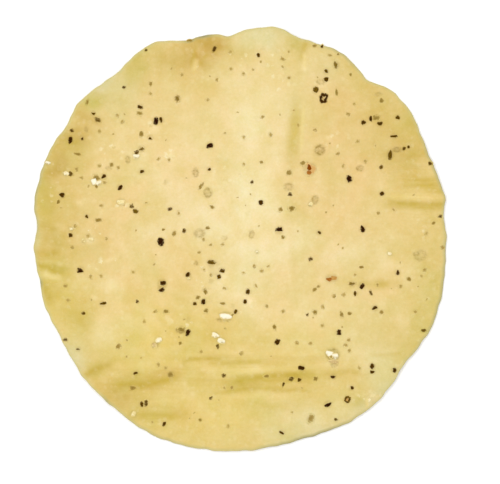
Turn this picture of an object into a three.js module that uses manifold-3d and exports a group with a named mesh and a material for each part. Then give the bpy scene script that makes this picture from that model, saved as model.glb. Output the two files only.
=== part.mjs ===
// A raw papadum: lentil dough rolled out thin by hand and dried, with cracked pepper, chilli,
// husk and pale chips pressed into its upper face.
// Millimetres, +Z up. The origin is the middle of the underside, where the sheet lies flat.
// +X runs to the right of the sheet and +Y to its top edge, and bearings are in degrees,
// anticlockwise from +X as seen from above.

import * as THREE from "three";
import { mergeVertices } from "three/addons/utils/BufferGeometryUtils.js";
import Module from "manifold-3d";

// ---- Driving dimensions ----

const RADIUS = 81.1;
const THICKNESS = 0.6;

// Ring spacing of the mesh at the middle and at the rim, and the number of points on the rim.
const SPACING_MIDDLE = 5;
const SPACING_RIM = 2.9;
const RIM_POINTS = 252;

// The hand-rolled outline: lobes and dents as [bearing, half-width, reach].
const LOBES = [
  [12, 4, 0.9], [34, 3, 0.3], [38, 9, 2.1], [44, 5, 0.75], [60, 4, 0.7], [64, 7, 1.4],
  [78, 2, 0.5], [82, 8, 2.7], [94, 2, 0.6], [103, 4, 0.6], [114, 6, 2.5], [121, 4, 0.8],
  [140, 5, 1.2], [154, 3, 0.4], [159, 9, 0.7], [181, 3, 0.4], [199, 3, 0.4], [226, 4, 0.2],
  [249, 17, 2.4], [264, 7, 0.4], [275, 10, 0.8], [298, 52, 0.38], [304, 12, 2.0],
  [312, 3, 0.3], [334, 5, 0.3], [338, 8, 1.1], [347, 5, 0.35],
  [6, 4, -0.9], [28, 7, -0.3], [51, 4, -1.5], [74, 3, -0.3], [87, 5, -0.8], [93, 3, -2.4],
  [98, 2, -0.5], [104, 4, -1.6], [108, 2, -0.3], [117, 3, -0.4], [125, 4, -1.1],
  [132, 4, -0.4], [145, 5, -0.6], [154, 10, -0.4], [177, 4, -2.1], [186, 3, -0.3],
  [190, 12, -1.3], [193, 2, -0.5], [206, 8, -1.2], [214, 7, -0.8], [229, 5, -0.4],
  [237, 3, -0.4], [278, 4, -0.2], [323, 4, -0.8], [356, 5, -0.3],
];

// The ragged edge: waves round the rim as [number, reach, shift].
const EDGE_WAVES = [[41, 0.12, 20], [67, 0.09, 75], [103, 0.06, 10]];

// The middle lies flat, and the sheet springs a little clear of the table beyond it.
const FLAT_RADIUS = 20;
const SPRUNG_RADIUS = 38;
const SPRUNG_HEIGHT = 0.6;
const SWELL_HEIGHT = 0.22;
const SWELL_LENGTH = [62, 74];

// Where drying has curled the rim up, as [bearing, half-width, height], and the share of the
// radius at which the curling starts.
const CURLS = [
  [18, 20, 3.0], [76, 19, 2.6], [131, 21, 4.2], [178, 17, 3.0], [222, 22, 4.4], [272, 20, 2.2],
  [318, 23, 3.8],
];
const CURL_START = 0.58;
const CURL_POWER = 1.7;

// Creases as [depth, half-width, points that they run through]. A ridge has a depth below 0.
// A line that runs on past the rim is cut off by it.
const CREASES = [
  [0.22, 1.5, [[-23, -51], [-17, -46.8], [12, -47.2], [41, -47.6]]],
  [-0.16, 1.7, [[-15, -44.4], [14, -44.6], [38, -45.2]]],
  [0.5, 2.3, [[-14, -58], [4, -56], [24, -53.6], [45, -54]]],
  [0.3, 2.0, [[-54, -55.5], [-26, -56]]],
  [0.25, 1.9, [[-68, -54.5], [-58, -51], [-46, -48]]],
  [0.3, 2.1, [[-45, -66.5], [-20, -67.4]]],
  [0.5, 1.5, [[52, 13.8], [68, 13], [92, 12.2]]],
  [-0.45, 1.6, [[52, 16.6], [68, 16.2], [92, 15.8]]],
  [0.4, 2.2, [[58, 23], [70, 21.8], [92, 19]]],
  [0.25, 1.3, [[59, 33.8], [92, 33.2]]],
  [0.2, 1.6, [[52, -17], [66, -18.4]]],
  [0.45, 2.0, [[23.2, 60], [21.8, 44], [20.4, 22]]],
  [0.3, 1.5, [[-92, 5.2], [-70, 5.1]]],
  [0.4, 1.7, [[-92, -5.6], [-66, -6.8]]],
  [-0.2, 1.5, [[-92, -8.3], [-66, -9.6]]],
  [0.45, 1.8, [[-92, -9.8], [-76, -10.8], [-62, -13.6]]],
  [0.25, 2.4, [[-80, -15], [-75, -25]]],
  [0.25, 1.2, [[-17, 92], [-18, 64]]],
  [0.35, 1.7, [[-84, 45], [-68, 37.5], [-59, 33.5]]],
];
const CREASE_TAPER = 0.22;

// The larger bits as [x, y, width along X, length along Y, turn], and how far each kind stands
// out of the dough. A bit reaches as far into the dough as it stands out of it.
const BIT_KINDS = [
  {
    kind: "pepper",
    rise: 0.46,
    places: [
      [-30.6, -1.1, 2.3, 2.9, 0], [15.7, 3.4, 2.7, 2.1, 0], [-32.4, 46, 2.1, 2.5, 0],
      [-10.9, -9.4, 2.9, 1.7, 0], [43, 23.4, 1.9, 2.5, 0], [-11.4, 36.5, 2.3, 1.9, 0],
      [34.7, -64.4, 2.5, 1.7, 0], [-61.9, -12, 2.1, 1.9, 0], [-19.9, -36.5, 1.9, 2.1, 0],
      [59, 32.9, 1.3, 2.9, 0], [48.3, 3.9, 1.5, 2.5, 0], [47.8, -18.3, 1.9, 1.9, 0],
      [24.5, -50.3, 2.1, 1.7, 0], [-29.6, -17.4, 2.1, 1.4, 0], [-30.4, -19.7, 2.1, 1.4, 0],
      [-13.9, -24.5, 1.5, 2.1, 0], [53.1, -26.9, 2.3, 1.3, 0], [29.8, 58.3, 1.7, 1.7, 0],
      [33.2, 55, 3.0, 3.4, 0], [-69.1, 17, 1.9, 1.5, 0], [39, -36.7, 1.5, 1.9, 0],
      [-65.8, 38.6, 1.2, 2.5, 0], [-46.4, 20.1, 2.1, 1.3, 35], [14.9, -40.2, 1.3, 2.1, -35],
      [-20, -13.9, 1.5, 1.7, 0], [3.4, -20.6, 1.3, 1.9, 0], [36.8, -53.7, 2.1, 1.2, 0],
      [-52.7, 24.5, 1.5, 1.5, 0], [8.7, 14.2, 1.5, 1.5, 0], [48.6, 45.4, 1.5, 1.5, 0],
      [-30.4, 46.4, 1.3, 1.7, 0], [-37.9, 26.3, 1.7, 1.3, 0], [-40.3, 10.8, 1.7, 1.3, 0],
      [51.9, -49.5, 1.4, 1.8, 0], [54.9, 45, 1.7, 1.3, 0], [55.8, 17.7, 1.5, 1.3, 0],
      [61.9, -13.1, 1.3, 1.5, 0], [33.9, 65.4, 1.4, 1.4, 0], [33.9, 62.3, 1.4, 1.4, 0],
    ],
  },
  {
    kind: "husk",
    rise: 0.32,
    places: [
      [-24.1, 54.8, 1.5, 2.1, 0], [-26.6, -52.9, 1.7, 1.7, 0], [-55, 46.6, 2.1, 1.3, 0],
      [-22.6, -35.1, 2.1, 1.3, 0], [-38.2, 35.2, 1.6, 1.6, 0], [28, -70.2, 1.7, 2.5, 0],
      [37.8, 67.9, 1.3, 2.5, 0], [44.1, -17.5, 2.1, 1.1, 0],
    ],
  },
  {
    kind: "chilli",
    rise: 0.34,
    places: [[36.2, -15.4, 2.9, 1.7, 0], [27.9, 27.5, 1.9, 2.1, 0], [42.4, -62.6, 2.9, 2.7, 0]],
  },
  {
    kind: "chip",
    rise: 0.3,
    places: [
      [-5.3, -30.3, 4.1, 2.1, 0], [36.4, -45.3, 3.7, 2.2, 0], [36.6, -48.3, 3.3, 2.2, 0],
      [-31.9, -39.8, 2.1, 2.5, 0], [-9.3, -37.5, 2.6, 1.5, 0], [-7, -39.6, 2.5, 1.7, 0],
      [-55.8, 22, 2.5, 1.7, 0], [-41.2, -68.8, 1.4, 2.9, 0],
    ],
  },
  {
    kind: "pepper crumb",
    rise: 0.3,
    places: [
      [-53.2, -25.3, 2.1, 1.0, 15], [60.5, 40.1, 2.1, 0.9, 0], [-38.6, 51.5, 1.9, 1.1, -25],
      [-37.9, -64.4, 1.1, 1.8, 0], [-29.3, -72.2, 1.1, 1.8, -20], [60.5, -51, 1.2, 1.7, 0],
      [-56.8, 49, 1.5, 1.2, 0], [-65.6, 1.5, 1.3, 1.3, 0], [23.6, -55, 1.3, 1.2, 0],
      [43.8, -58, 1.4, 1.2, 0], [61.9, 47.5, 1.4, 1.3, 0], [-34.6, 39.6, 1.6, 1.3, 10],
      [-6.6, -12.3, 1.7, 1.2, 0], [-40.1, -52.3, 1.6, 1.0, 0], [51.4, 47.1, 1.0, 1.8, 0],
      [-61.2, 39.2, 1.2, 1.3, 0], [7.6, 71.6, 1.2, 1.3, 0], [-7.9, -14.7, 1.3, 1.5, 0],
      [16.8, -75.5, 1.6, 1.5, 0], [-1.3, -28.4, 1.0, 1.6, -20], [45.4, -21.3, 0.9, 1.6, 0],
      [-59.4, 8.8, 1.1, 1.3, 0], [-17.3, -25.2, 1.3, 1.2, 0], [31.2, 2.5, 1.5, 1.1, 0],
      [2.3, -24.6, 1.1, 1.4, 0], [-62.6, -42.9, 1.4, 0.9, 0], [52.1, -51.8, 1.4, 1.0, 0],
      [32.3, 75.2, 1.0, 1.3, 0], [-11.7, 27.3, 1.3, 1.2, 0], [66.1, 35.9, 0.9, 1.0, 0],
    ],
  },
];

// How unevenly a bit is broken, as a share of its size.
const BIT_UNEVENNESS = 0.22;
const BIT_SEED = 90210;

// ---- Seeded draw ----

function makeDraw(seed) {
  let state = seed;
  return () => {
    state = (state * 48271) % 2147483647;
    return state / 2147483647;
  };
}

// ---- Outline and relief ----

function bellAt(distance, halfWidth) {
  return Math.exp(-((distance / halfWidth) ** 2));
}

function bearingGap(from, to) {
  return Math.abs(((from - to + 540) % 360) - 180);
}

function bearingOf(x, y) {
  return (THREE.MathUtils.radToDeg(Math.atan2(y, x)) + 360) % 360;
}

// The sum, at a bearing, of rows of [bearing, half-width, size].
function sumRoundRim(rows, bearing) {
  let sum = 0;
  for (const [centre, halfWidth, size] of rows) {
    sum += size * bellAt(bearingGap(bearing, centre), halfWidth);
  }
  return sum;
}

function outlineRadius(bearing) {
  let radius = RADIUS + sumRoundRim(LOBES, bearing);
  for (const [number, reach, shift] of EDGE_WAVES) {
    radius += reach * Math.sin(THREE.MathUtils.degToRad(number * bearing + shift));
  }
  return radius;
}

// The nearest point of a line of several stretches: how far off it is, and how far along the
// line it lies as a share of the line's length.
function nearestOnLine(points, x, y) {
  let passed = 0;
  let best = { distance: Infinity, along: 0 };
  for (let i = 1; i < points.length; i += 1) {
    const [startX, startY] = points[i - 1];
    const stepX = points[i][0] - startX;
    const stepY = points[i][1] - startY;
    const length = Math.hypot(stepX, stepY);
    const dot = ((x - startX) * stepX + (y - startY) * stepY) / length ** 2;
    const share = THREE.MathUtils.clamp(dot, 0, 1);
    const distance = Math.hypot(x - startX - share * stepX, y - startY - share * stepY);
    if (distance < best.distance) {
      best = { distance, along: passed + share * length };
    }
    passed += length;
  }
  return { distance: best.distance, along: best.along / passed };
}

function creaseDepth([depth, halfWidth, points], x, y) {
  const { distance, along } = nearestOnLine(points, x, y);
  const fromEnd = Math.min(along, 1 - along);
  const taper = THREE.MathUtils.smoothstep(fromEnd, 0, CREASE_TAPER);
  return depth * taper * bellAt(distance, halfWidth);
}

// Height of the underside above the table.
function relief(x, y) {
  const bearing = bearingOf(x, y);
  const radius = Math.hypot(x, y);
  const share = radius / outlineRadius(bearing);
  const sprung = THREE.MathUtils.smoothstep(radius, FLAT_RADIUS, SPRUNG_RADIUS);
  const curled = Math.max(0, (share - CURL_START) / (1 - CURL_START)) ** CURL_POWER;
  const phaseX = (2 * Math.PI * x) / SWELL_LENGTH[0];
  const phaseY = (2 * Math.PI * y) / SWELL_LENGTH[1];
  const swell = SWELL_HEIGHT * Math.sin(phaseX + 1) * Math.cos(phaseY);
  let height = sprung * (SPRUNG_HEIGHT + swell) + curled * sumRoundRim(CURLS, bearing);
  for (const crease of CREASES) {
    height -= sprung * creaseDepth(crease, x, y);
  }
  return Math.max(0, height);
}

// ---- The sheet ----

// Rings of points from the middle out, each as its share of the outline's radius and the number
// of points on it.
function planRings() {
  const rings = [{ share: 0, count: 1 }];
  let radius = 0;
  for (;;) {
    const left = 1 - radius / RADIUS;
    const spacing = SPACING_RIM + (SPACING_MIDDLE - SPACING_RIM) * left ** 1.5;
    radius += spacing;
    if (radius > RADIUS - spacing / 2) {
      break;
    }
    const count = Math.round((2 * Math.PI * radius) / spacing);
    rings.push({ share: radius / RADIUS, count });
  }
  rings.push({ share: 1, count: RIM_POINTS });
  return rings;
}

// Triangles between two rings, anticlockwise from above.
function stitchRings(inner, outer) {
  const faces = [];
  let i = 0;
  let o = 0;
  while (i < inner.count || o < outer.count) {
    const corner = inner.first + (i % inner.count);
    const across = outer.first + (o % outer.count);
    const outerIsNext = (o + 1) * inner.count <= (i + 1) * outer.count;
    if (o < outer.count && (i >= inner.count || outerIsNext)) {
      o += 1;
      faces.push([corner, across, outer.first + (o % outer.count)]);
    } else {
      i += 1;
      faces.push([corner, across, inner.first + (i % inner.count)]);
    }
  }
  return faces;
}

// Triangles from the middle point to the first ring.
function fanFaces(ring) {
  const faces = [];
  for (let i = 0; i < ring.count; i += 1) {
    faces.push([0, ring.first + i, ring.first + ((i + 1) % ring.count)]);
  }
  return faces;
}

function makeSheet() {
  const rings = planRings();
  const plan = [];
  for (const ring of rings) {
    ring.first = plan.length;
    for (let i = 0; i < ring.count; i += 1) {
      const bearing = (360 * i) / ring.count;
      const radius = ring.share * outlineRadius(bearing);
      const angle = THREE.MathUtils.degToRad(bearing);
      plan.push([radius * Math.cos(angle), radius * Math.sin(angle)]);
    }
  }

  const upper = fanFaces(rings[1]);
  for (let i = 2; i < rings.length; i += 1) {
    upper.push(...stitchRings(rings[i - 1], rings[i]));
  }

  const below = plan.length;
  const positions = [];
  for (const rise of [THICKNESS, 0]) {
    for (const [x, y] of plan) {
      positions.push(x, y, relief(x, y) + rise);
    }
  }
  const index = [];
  for (const [a, b, c] of upper) {
    index.push(a, b, c);
    index.push(below + a, below + c, below + b);
  }
  const rim = rings[rings.length - 1];
  for (let i = 0; i < rim.count; i += 1) {
    const here = rim.first + i;
    const next = rim.first + ((i + 1) % rim.count);
    index.push(here, below + here, below + next);
    index.push(here, below + next, next);
  }

  const geometry = new THREE.BufferGeometry();
  geometry.setAttribute("position", new THREE.Float32BufferAttribute(positions, 3));
  geometry.setIndex(index);
  return geometry;
}

// ---- The bits in the dough ----

// A broken grain of twenty faces, its middle on the upper face of the sheet.
function makeBit([x, y, width, length, turn], rise, draw) {
  const grain = new THREE.IcosahedronGeometry(1);
  grain.deleteAttribute("normal");
  grain.deleteAttribute("uv");
  const geometry = mergeVertices(grain);
  const corners = geometry.getAttribute("position");
  for (let i = 0; i < corners.count; i += 1) {
    const share = 1 + BIT_UNEVENNESS * (draw() - 0.5);
    const corner = new THREE.Vector3().fromBufferAttribute(corners, i).multiplyScalar(share);
    corners.setXYZ(i, corner.x, corner.y, corner.z);
  }
  geometry.scale(width / 2, length / 2, rise);
  geometry.rotateZ(THREE.MathUtils.degToRad(turn));
  geometry.translate(x, y, relief(x, y) + THICKNESS);
  return geometry;
}

// ---- Joining ----

const wasm = await Module();
wasm.setup();

function toSolid(geometry) {
  return new wasm.Manifold(new wasm.Mesh({
    numProp: 3,
    vertProperties: new Float32Array(geometry.getAttribute("position").array),
    triVerts: new Uint32Array(geometry.getIndex().array),
  }));
}

function toGeometry(solid) {
  const mesh = solid.getMesh();
  const geometry = new THREE.BufferGeometry();
  geometry.setAttribute("position", new THREE.BufferAttribute(mesh.vertProperties, 3));
  geometry.setIndex(new THREE.BufferAttribute(mesh.triVerts, 1));
  return geometry;
}

function makePapadum() {
  const draw = makeDraw(BIT_SEED);
  let solid = toSolid(makeSheet());
  for (const { rise, places } of BIT_KINDS) {
    for (const place of places) {
      solid = solid.add(toSolid(makeBit(place, rise, draw)));
    }
  }
  const geometry = toGeometry(solid);

  // The lobes are uneven, so the whole is set with its middle over the origin.
  geometry.computeBoundingBox();
  const middle = geometry.boundingBox.getCenter(new THREE.Vector3());
  geometry.translate(-middle.x, -middle.y, 0);
  geometry.computeVertexNormals();

  const dough = new THREE.MeshStandardMaterial({ color: 0xe8d08a, roughness: 0.6, metalness: 0 });
  const papadum = new THREE.Mesh(geometry, dough);
  papadum.name = "papadum";
  return papadum;
}

const part = new THREE.Group();
part.add(makePapadum());

export default part;
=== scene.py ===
"""Looks of a raw papadum: a thin sheet of dried lentil dough, with cracked pepper, husk, chilli
and pale chips pressed into it.

The sheet's form follows the same named sizes as the solid, in millimetres. Bearings and turns are
in degrees, anticlockwise from +X as seen from above.
"""
import math

import bmesh
import bpy
import numpy as np
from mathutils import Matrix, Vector, noise


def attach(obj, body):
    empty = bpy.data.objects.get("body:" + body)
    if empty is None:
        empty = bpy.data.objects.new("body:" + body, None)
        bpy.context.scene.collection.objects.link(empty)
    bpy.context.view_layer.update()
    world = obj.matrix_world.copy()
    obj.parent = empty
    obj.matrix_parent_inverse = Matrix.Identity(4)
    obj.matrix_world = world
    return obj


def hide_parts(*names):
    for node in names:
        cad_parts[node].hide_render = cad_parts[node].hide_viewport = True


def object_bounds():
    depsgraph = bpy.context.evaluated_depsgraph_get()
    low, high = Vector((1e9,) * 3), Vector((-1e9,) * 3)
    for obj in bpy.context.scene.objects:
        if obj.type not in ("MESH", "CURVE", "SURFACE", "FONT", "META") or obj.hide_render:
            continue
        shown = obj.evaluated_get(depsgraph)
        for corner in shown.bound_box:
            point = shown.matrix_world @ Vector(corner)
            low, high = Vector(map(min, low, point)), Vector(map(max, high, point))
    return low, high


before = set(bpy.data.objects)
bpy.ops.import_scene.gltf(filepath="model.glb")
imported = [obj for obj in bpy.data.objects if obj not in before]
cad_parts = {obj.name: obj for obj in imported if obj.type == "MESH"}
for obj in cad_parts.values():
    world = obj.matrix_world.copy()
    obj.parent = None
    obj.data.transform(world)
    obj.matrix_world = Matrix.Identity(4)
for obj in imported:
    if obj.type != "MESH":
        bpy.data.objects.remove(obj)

MM = 0.001
CAD_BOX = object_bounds()
CAD_TOP = CAD_BOX[1].z / MM

# ---- The sheet's sizes, as in the solid ----

RADIUS = 81.1
THICKNESS = 0.6
RIM_POINTS = 252

# Lobes and dents of the outline as [bearing, half-width, reach].
LOBES = [
    [12, 4, 0.9], [34, 3, 0.3], [38, 9, 2.1], [44, 5, 0.75], [60, 4, 0.7], [64, 7, 1.4],
    [78, 2, 0.5], [82, 8, 2.7], [94, 2, 0.6], [103, 4, 0.6], [114, 6, 2.5], [121, 4, 0.8],
    [140, 5, 1.2], [154, 3, 0.4], [159, 9, 0.7], [181, 3, 0.4], [199, 3, 0.4], [226, 4, 0.2],
    [249, 17, 2.4], [264, 7, 0.4], [275, 10, 0.8], [298, 52, 0.38], [304, 12, 2], [312, 3, 0.3],
    [334, 5, 0.3], [338, 8, 1.1], [347, 5, 0.35], [6, 4, -0.9], [28, 7, -0.3], [51, 4, -1.5],
    [74, 3, -0.3], [87, 5, -0.8], [93, 3, -2.4], [98, 2, -0.5], [104, 4, -1.6], [108, 2, -0.3],
    [117, 3, -0.4], [125, 4, -1.1], [132, 4, -0.4], [145, 5, -0.6], [154, 10, -0.4], [177, 4, -2.1],
    [186, 3, -0.3], [190, 12, -1.3], [193, 2, -0.5], [206, 8, -1.2], [214, 7, -0.8], [229, 5, -0.4],
    [237, 3, -0.4], [278, 4, -0.2], [323, 4, -0.8], [356, 5, -0.3],
]
# Waves of the ragged edge as [number, reach, shift].
EDGE_WAVES = [[41, 0.12, 20], [67, 0.09, 75], [103, 0.06, 10]]

FLAT_RADIUS = 20
SPRUNG_RADIUS = 38
SPRUNG_HEIGHT = 0.6
SWELL_HEIGHT = 0.22
SWELL_LENGTH = [62, 74]

# Curled-up places of the rim as [bearing, half-width, height].
CURLS = [
    [18, 20, 3], [76, 19, 2.6], [131, 21, 4.2], [178, 17, 3], [222, 22, 4.4], [272, 20, 2.2],
    [318, 23, 3.8],
]
CURL_START = 0.58
CURL_POWER = 1.7

# Creases as [depth, half-width, points that they run through]. A ridge has a depth below 0.
CREASES = [
    [0.22, 1.5, [[-23, -51], [-17, -46.8], [12, -47.2], [41, -47.6]]],
    [-0.16, 1.7, [[-15, -44.4], [14, -44.6], [38, -45.2]]],
    [0.5, 2.3, [[-14, -58], [4, -56], [24, -53.6], [45, -54]]],
    [0.3, 2, [[-54, -55.5], [-26, -56]]], [0.25, 1.9, [[-68, -54.5], [-58, -51], [-46, -48]]],
    [0.3, 2.1, [[-45, -66.5], [-20, -67.4]]], [0.5, 1.5, [[52, 13.8], [68, 13], [92, 12.2]]],
    [-0.45, 1.6, [[52, 16.6], [68, 16.2], [92, 15.8]]],
    [0.4, 2.2, [[58, 23], [70, 21.8], [92, 19]]], [0.25, 1.3, [[59, 33.8], [92, 33.2]]],
    [0.2, 1.6, [[52, -17], [66, -18.4]]], [0.45, 2, [[23.2, 60], [21.8, 44], [20.4, 22]]],
    [0.3, 1.5, [[-92, 5.2], [-70, 5.1]]], [0.4, 1.7, [[-92, -5.6], [-66, -6.8]]],
    [-0.2, 1.5, [[-92, -8.3], [-66, -9.6]]], [0.45, 1.8, [[-92, -9.8], [-76, -10.8], [-62, -13.6]]],
    [0.25, 2.4, [[-80, -15], [-75, -25]]], [0.25, 1.2, [[-17, 92], [-18, 64]]],
    [0.35, 1.7, [[-84, 45], [-68, 37.5], [-59, 33.5]]],
]
CREASE_TAPER = 0.22

# ---- The bits, as [x, y, width along X, length along Y, turn where there is one] ----

PEPPER = [
    [-30.6, -1.1, 2.3, 2.9], [15.7, 3.4, 2.7, 2.1], [-32.4, 46, 2.1, 2.5], [43, 23.4, 1.9, 2.5],
    [-11.4, 36.5, 2.3, 1.9], [34.7, -64.4, 2.5, 1.7], [-61.9, -12, 2.1, 1.9],
    [-19.9, -36.5, 1.9, 2.1], [48.3, 3.9, 1.5, 2.5], [47.8, -18.3, 1.9, 1.9],
    [24.5, -50.3, 2.1, 1.7], [-29.6, -17.4, 2.1, 1.4], [-30.4, -19.7, 2.1, 1.4],
    [-13.9, -24.5, 1.5, 2.1], [53.1, -26.9, 2.3, 1.3], [-69.1, 17, 1.9, 1.5], [39, -36.7, 1.5, 1.9],
    [-65.8, 38.6, 1.2, 2.5], [-46.4, 20.1, 2.1, 1.3, 35], [14.9, -40.2, 1.3, 2.1, -35],
    [-20, -13.9, 1.5, 1.7], [3.4, -20.6, 1.3, 1.9], [36.8, -53.7, 2.1, 1.2],
    [-52.7, 24.5, 1.5, 1.5], [8.7, 14.2, 1.5, 1.5], [48.6, 45.4, 1.5, 1.5], [-30.4, 46.4, 1.3, 1.7],
    [-37.9, 26.3, 1.7, 1.3], [51.9, -49.5, 1.4, 1.8], [54.9, 45, 1.7, 1.3], [55.8, 17.7, 1.5, 1.3],
    [61.9, -13.1, 1.3, 1.5], [33.9, 65.4, 1.4, 1.4], [33.9, 62.3, 1.4, 1.4],
]
PEPPER_RISE = 0.46
# The shade of bits up to the first of these sizes, and how much darker the largest are.
PEPPER_SIZES = (1.3, 2.3)
SMALL_PEPPER_SHADE = 0.36
PEPPER_SHADE_FALL = 0.3
# Peppercorn skins, which are as large but brown.
BROWN_PEPPER = [
    [-10.9, -9.4, 2.9, 1.7], [59, 32.9, 1.4, 2.9], [-40.3, 10.8, 1.8, 1.3, -20],
    [29.8, 58.3, 1.8, 1.8],
]
BROWN_PEPPER_SHADE = 0.47
PEPPER_CRUMBS = [
    [-53.2, -25.3, 2.1, 1, 15], [60.5, 40.1, 2.1, 0.9], [-38.6, 51.5, 1.9, 1.1, -25],
    [-37.9, -64.4, 1.1, 1.8], [-29.3, -72.2, 1.1, 1.8, -20], [60.5, -51, 1.2, 1.7],
    [-56.8, 49, 1.5, 1.2], [-65.6, 1.5, 1.3, 1.3], [23.6, -55, 1.3, 1.2], [43.8, -58, 1.4, 1.2],
    [61.9, 47.5, 1.4, 1.3], [-34.6, 39.6, 1.6, 1.3, 10], [-6.6, -12.3, 1.7, 1.2],
    [-40.1, -52.3, 1.6, 1], [51.4, 47.1, 1, 1.8], [-61.2, 39.2, 1.2, 1.3], [7.6, 71.6, 1.2, 1.3],
    [-7.9, -14.7, 1.3, 1.5], [16.8, -75.5, 1.6, 1.5], [-1.3, -28.4, 1, 1.6, -20],
    [45.4, -21.3, 0.9, 1.6], [-59.4, 8.8, 1.1, 1.3], [-17.3, -25.2, 1.3, 1.2],
    [31.2, 2.5, 1.5, 1.1], [2.3, -24.6, 1.1, 1.4], [-62.6, -42.9, 1.4, 0.9], [52.1, -51.8, 1.4, 1],
    [32.3, 75.2, 1, 1.3], [-11.7, 27.3, 1.3, 1.2], [66.1, 35.9, 0.9, 1],
]
CRUMB_RISE = 0.3
CRUMB_SHADE = 0.35

# Smaller bits, which the solid leaves out: brown and olive ones, flush with the dough.
SMALL_BROWN = [
    [51.5, -21.2, 0.9, 2.1, 15], [5.1, 22.2, 1.4, 1.4], [-26.9, 11.9, 1.5, 1.2, 20],
    [-41.8, 12.8, 1.8, 1.4, 30], [28, -7.7, 1.4, 1.4], [55.4, 27.9, 1.4, 1.4, 20],
    [-67.7, -39.4, 1.5, 1.3], [-5.8, -53.3, 1.3, 1.2], [37.9, -70.4, 1.1, 1.1],
    [74.6, 29.4, 1.3, 1.2], [-44.9, 58.9, 1.3, 1], [-21.5, 3, 1.3, 1.5], [-60.8, -28.9, 1.5, 1.1],
    [17.4, -56.8, 1, 1.5], [71.8, -35.7, 1.6, 1.1], [20, 17.4, 1.4, 1.2], [78.4, 8.8, 1.3, 1.1],
    [-11.1, -62.1, 1.2, 1.2], [64.4, 35.2, 1.2, 1.2], [-36.2, 73.6, 0.9, 0.9],
    [26.9, -29.5, 1.2, 1.1], [-36.2, -63.9, 1.3, 1.9, -15], [-39.9, 33.8, 1.9, 1.5, 30],
    [20.5, -54.7, 1.9, 1.3], [-65.8, 25.3, 1.7, 1.6, -20], [-65.2, 42.2, 1.2, 1.2],
    [-8.4, -41.4, 1.1, 2, 20], [-39.8, -24.3, 1.1, 1.2], [-9.6, 74.2, 1.2, 2.2, -35],
]
SMALL_BROWN_SHADE = 0.37
SMALL_OLIVE = [
    [38.1, 57.2, 0.9, 2.1, 10], [-10.5, 12.5, 1.4, 1.4], [-34.4, 60.5, 1.3, 1.3],
    [-28.4, -28.4, 1.7, 1.3], [39.9, -29.4, 1.1, 1.8, 15], [13.9, -34.5, 1.1, 1.8, 15],
    [-25.2, 2.1, 1.3, 1.6, -20], [-12.2, 4.4, 1.8, 1, 15], [-15.2, -70.6, 1.2, 1.1],
    [47.8, -11, 1.5, 1], [-13.2, -20.5, 1.2, 1.8, 10], [-29.5, 3.6, 1.1, 1], [43.6, 64.1, 1, 0.9],
    [29.6, 75.2, 1.5, 1.1], [38.6, 72.2, 0.9, 0.9], [-19.4, 77.4, 1.5, 0.8, 10],
    [30.9, -18.6, 1.1, 1], [8.9, 30, 1.1, 1], [25, 29.6, 1.7, 1.2, 25], [-70.5, 14.5, 1.2, 1.4],
    [30, -54.6, 1.3, 1.9], [-47.1, -41.8, 1.7, 1.6], [-12.9, -27.9, 1.6, 1.5],
    [16.4, 11.5, 1.7, 1.5], [-54.8, 7.4, 2.1, 1.2, 10], [-41.5, -58, 2, 1.3, 10],
    [20.6, 11.8, 2, 1.6], [66.4, -15.6, 1.5, 1.3, -30], [29.6, -28.7, 1.5, 1.5],
    [29.4, -19.7, 1.6, 1.2, 30], [55.6, -28.6, 1.2, 1.4], [55.6, 54.2, 1.4, 1.3],
    [43.1, -29.1, 1.5, 1], [-55.6, 24, 2.2, 1.5, -25], [-14.8, 20.9, 1.1, 2.3, -25],
    [53.6, 47.3, 2, 1.6], [17.3, 0.8, 1.3, 1.3], [-16.2, -22.9, 1.4, 1.1], [-38.8, 49, 1.6, 1.4],
    [-38.3, 41.1, 1.5, 1.8, 20], [-59, 53.1, 1.2, 1.8, -30], [-55.7, 20.6, 1.1, 1.4],
    [-63, 33.3, 2.4, 1, -15], [19.6, 26, 1.6, 1.5], [-49.7, 28.9, 1.3, 1.4],
    [-22.9, -40.7, 1.1, 1.1], [-6.3, -25.2, 1.8, 0.9], [-2.8, -29.7, 1.5, 0.9, 30],
    [35.9, -46, 0.9, 0.9], [10.5, -53.5, 2, 1.1], [75.8, 6.2, 1.1, 1],
]
SMALL_OLIVE_SHADE = 0.74
SMALL_RISE = 0.1

HUSK = [
    [-24.1, 54.8, 1.5, 2.1], [-26.6, -52.9, 1.9, 1.8, 20], [-55.1, 46.5, 2.2, 1.4, -35],
    [-22.6, -35.1, 2.1, 1.3], [-38.2, 35.2, 1.8, 1.8], [28, -70.2, 1.9, 2.7, -25],
    [37.8, 67.9, 1.3, 2.5, 15], [44.1, -17.5, 2.1, 1.1],
]
HUSK_SHADES = [0.66, 0.68, 0.42, 0.72, 0.52, 0.85, 0.6, 0.62]
HUSK_RISE = 0.32

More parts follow.
